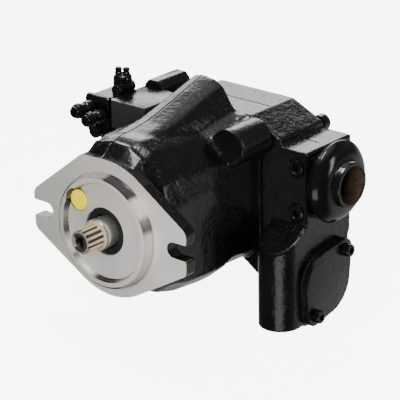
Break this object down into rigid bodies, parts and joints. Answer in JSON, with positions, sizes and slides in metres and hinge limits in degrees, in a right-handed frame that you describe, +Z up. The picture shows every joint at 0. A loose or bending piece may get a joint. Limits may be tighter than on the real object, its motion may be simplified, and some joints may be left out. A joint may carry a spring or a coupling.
{
  "type": "axial piston pump",
  "caption": "Variable axial piston pump with splined shaft, two-bolt flange, black cast case, side suction fitting, blanked lower port and control valves.",
  "frame": {"origin": "centre of the mounting flange register, on the flange mounting face", "axes": "+Y along the drive shaft towards the rear, +Z up, +X to the side that carries the suction fitting; the shaft end points along -Y"},
  "size_m": [0.2275, 0.2533, 0.2171],
  "materials": {
    "black_paint": "gloss black over as-cast iron; flange, pilot and slots are bare machined iron",
    "steel": "machined",
    "bronze": "machined bronze",
    "seal_rubber": "matt",
    "yellow_plastic": "satin yellow",
    "spring_steel": "drawn wire"
  },
  "bodies": {
    "pump_case": {"barrel_spring": "spring_steel", "bias_spring": "spring_steel", "blanking_cover": "black_paint", "control_rear_block": "black_paint", "cover_bolt_1": "black_paint", "cover_bolt_2": "black_paint", "cover_gasket": "seal_rubber", "cradle_bearing_left": "bronze", "cradle_bearing_right": "bronze", "cylinder_barrel": "steel", "front_bearing_cup": "steel", "guide_ball": "steel", "lock_nut_1": "black_paint", "lock_nut_2": "black_paint", "plate_bolt_1": "black_paint", "plate_bolt_2": "black_paint", "plate_bolt_3": "black_paint", "plate_bolt_4": "black_paint", "port_plate": "black_paint", "pump_housing": "black_paint", "rear_bearing_cup": "steel", "screw_plug_1": "black_paint", "screw_plug_2": "black_paint", "shaft_seal": "seal_rubber", "suction_fitting": "black_paint", "transport_plug": "yellow_plastic", "valve_body": "black_paint", "valve_end_block": "black_paint", "valve_plate": "bronze", "valve_spring_1": "spring_steel", "valve_spring_2": "spring_steel"},
    "shaft": {"drive_shaft": "steel", "front_bearing_cone": "steel", "rear_bearing_cone": "steel"},
    "swash": {"swashplate": "steel", "retainer_plate": "steel"},
    "control_piston": {"control_piston": "steel"},
    "valve_spool_1": {"valve_spool_1": "steel"},
    "valve_spool_2": {"valve_spool_2": "steel"},
    "adjusting_screw_1": {"adjusting_screw_1": "black_paint"},
    "adjusting_screw_2": {"adjusting_screw_2": "black_paint"},
    "limit_screw": {"limit_screw": "black_paint"},
    "piston_1": {"piston_1": "steel"},
    "slipper_1": {"slipper_1": "bronze"},
    "piston_2": {"piston_2": "steel"},
    "slipper_2": {"slipper_2": "bronze"},
    "piston_3": {"piston_3": "steel"},
    "slipper_3": {"slipper_3": "bronze"},
    "piston_4": {"piston_4": "steel"},
    "slipper_4": {"slipper_4": "bronze"},
    "piston_5": {"piston_5": "steel"},
    "slipper_5": {"slipper_5": "bronze"},
    "piston_6": {"piston_6": "steel"},
    "slipper_6": {"slipper_6": "bronze"},
    "piston_7": {"piston_7": "steel"},
    "slipper_7": {"slipper_7": "bronze"},
    "piston_8": {"piston_8": "steel"},
    "slipper_8": {"slipper_8": "bronze"},
    "piston_9": {"piston_9": "steel"},
    "slipper_9": {"slipper_9": "bronze"}
  },
  "joints": [
    {"name": "shaft_spin", "type": "hinge", "parent": "pump_case", "child": "shaft", "pos_m": [0, 0, 0], "axis": [0, 1, 0], "continuous": true},
    {"name": "swash_tilt", "type": "hinge", "parent": "pump_case", "child": "swash", "pos_m": [0, 0.06, 0], "axis": [-1, 0, 0], "range_deg": [0, 15.5], "deforming": ["bias_spring"]},
    {"name": "piston_1_slide", "type": "slide", "parent": "pump_case", "child": "piston_1", "axis": [0, 1, 0], "range_m": [0, 0.00806]},
    {"name": "slipper_1_tilt", "type": "hinge", "parent": "piston_1", "child": "slipper_1", "pos_m": [0, 0.06, 0.029], "axis": [-1, 0, 0], "range_deg": [0, 15.5]},
    {"name": "piston_2_slide", "type": "slide", "parent": "pump_case", "child": "piston_2", "axis": [0, 1, 0], "range_m": [0, 0.00618]},
    {"name": "slipper_2_tilt", "type": "hinge", "parent": "piston_2", "child": "slipper_2", "pos_m": [-0.01864, 0.06, 0.02222], "axis": [-1, 0, 0], "range_deg": [0, 15.5]},
    {"name": "piston_3_slide", "type": "slide", "parent": "pump_case", "child": "piston_3", "axis": [0, 1, 0], "range_m": [0, 0.00142]},
    {"name": "slipper_3_tilt", "type": "hinge", "parent": "piston_3", "child": "slipper_3", "pos_m": [-0.02856, 0.06, 0.00504], "axis": [-1, 0, 0], "range_deg": [0, 15.5]},
    {"name": "piston_4_slide", "type": "slide", "parent": "pump_case", "child": "piston_4", "axis": [0, 1, 0], "range_m": [-0.00404, 0]},
    {"name": "slipper_4_tilt", "type": "hinge", "parent": "piston_4", "child": "slipper_4", "pos_m": [-0.02511, 0.06, -0.0145], "axis": [-1, 0, 0], "range_deg": [0, 15.5]},
    {"name": "piston_5_slide", "type": "slide", "parent": "pump_case", "child": "piston_5", "axis": [0, 1, 0], "range_m": [-0.00758, 0]},
    {"name": "slipper_5_tilt", "type": "hinge", "parent": "piston_5", "child": "slipper_5", "pos_m": [-0.00992, 0.06, -0.02725], "axis": [-1, 0, 0], "range_deg": [0, 15.5]},
    {"name": "piston_6_slide", "type": "slide", "parent": "pump_case", "child": "piston_6", "axis": [0, 1, 0], "range_m": [-0.00758, 0]},
    {"name": "slipper_6_tilt", "type": "hinge", "parent": "piston_6", "child": "slipper_6", "pos_m": [0.00992, 0.06, -0.02725], "axis": [-1, 0, 0], "range_deg": [0, 15.5]},
    {"name": "piston_7_slide", "type": "slide", "parent": "pump_case", "child": "piston_7", "axis": [0, 1, 0], "range_m": [-0.00404, 0]},
    {"name": "slipper_7_tilt", "type": "hinge", "parent": "piston_7", "child": "slipper_7", "pos_m": [0.02511, 0.06, -0.0145], "axis": [-1, 0, 0], "range_deg": [0, 15.5]},
    {"name": "piston_8_slide", "type": "slide", "parent": "pump_case", "child": "piston_8", "axis": [0, 1, 0], "range_m": [0, 0.00142]},
    {"name": "slipper_8_tilt", "type": "hinge", "parent": "piston_8", "child": "slipper_8", "pos_m": [0.02856, 0.06, 0.00504], "axis": [-1, 0, 0], "range_deg": [0, 15.5]},
    {"name": "piston_9_slide", "type": "slide", "parent": "pump_case", "child": "piston_9", "axis": [0, 1, 0], "range_m": [0, 0.00618]},
    {"name": "slipper_9_tilt", "type": "hinge", "parent": "piston_9", "child": "slipper_9", "pos_m": [0.01864, 0.06, 0.02222], "axis": [-1, 0, 0], "range_deg": [0, 15.5]},
    {"name": "control_piston_slide", "type": "slide", "parent": "pump_case", "child": "control_piston", "axis": [0, 1, 0], "range_m": [0, 0.01755]},
    {"name": "valve_spool_1_slide", "type": "slide", "parent": "pump_case", "child": "valve_spool_1", "axis": [0, 1, 0], "range_m": [-0.001, 0.003], "deforming": ["valve_spring_1"]},
    {"name": "adjusting_screw_1_turn", "type": "hinge", "parent": "pump_case", "child": "adjusting_screw_1", "pos_m": [-0.0886, 0.057, 0.0716], "axis": [0, -1, 0], "range_deg": [-360, 360]},
    {"name": "valve_spool_2_slide", "type": "slide", "parent": "pump_case", "child": "valve_spool_2", "axis": [0, 1, 0], "range_m": [-0.001, 0.003], "deforming": ["valve_spring_2"]},
    {"name": "adjusting_screw_2_turn", "type": "hinge", "parent": "pump_case", "child": "adjusting_screw_2", "pos_m": [-0.0754, 0.057, 0.0664], "axis": [0, -1, 0], "range_deg": [-360, 360]},
    {"name": "limit_screw_turn", "type": "hinge", "parent": "pump_case", "child": "limit_screw", "pos_m": [-0.076, 0.106, 0.1], "axis": [0, 0, 1], "range_deg": [-360, 360]}
  ],
  "couplings": [
    {"joint": "piston_1_slide", "follows": "swash_tilt", "m_per_rad": 0.029729},
    {"joint": "slipper_1_tilt", "follows": "swash_tilt", "ratio": 1},
    {"joint": "piston_2_slide", "follows": "swash_tilt", "m_per_rad": 0.022774},
    {"joint": "slipper_2_tilt", "follows": "swash_tilt", "ratio": 1},
    {"joint": "piston_3_slide", "follows": "swash_tilt", "m_per_rad": 0.0051624},
    {"joint": "slipper_3_tilt", "follows": "swash_tilt", "ratio": 1},
    {"joint": "piston_4_slide", "follows": "swash_tilt", "m_per_rad": -0.014864},
    {"joint": "slipper_4_tilt", "follows": "swash_tilt", "ratio": 1},
    {"joint": "piston_5_slide", "follows": "swash_tilt", "m_per_rad": -0.027936},
    {"joint": "slipper_5_tilt", "follows": "swash_tilt", "ratio": 1},
    {"joint": "piston_6_slide", "follows": "swash_tilt", "m_per_rad": -0.027936},
    {"joint": "slipper_6_tilt", "follows": "swash_tilt", "ratio": 1},
    {"joint": "piston_7_slide", "follows": "swash_tilt", "m_per_rad": -0.014864},
    {"joint": "slipper_7_tilt", "follows": "swash_tilt", "ratio": 1},
    {"joint": "piston_8_slide", "follows": "swash_tilt", "m_per_rad": 0.0051624},
    {"joint": "slipper_8_tilt", "follows": "swash_tilt", "ratio": 1},
    {"joint": "piston_9_slide", "follows": "swash_tilt", "m_per_rad": 0.022774},
    {"joint": "slipper_9_tilt", "follows": "swash_tilt", "ratio": 1},
    {"joint": "control_piston_slide", "follows": "swash_tilt", "m_per_rad": 0.0647}
  ]
}
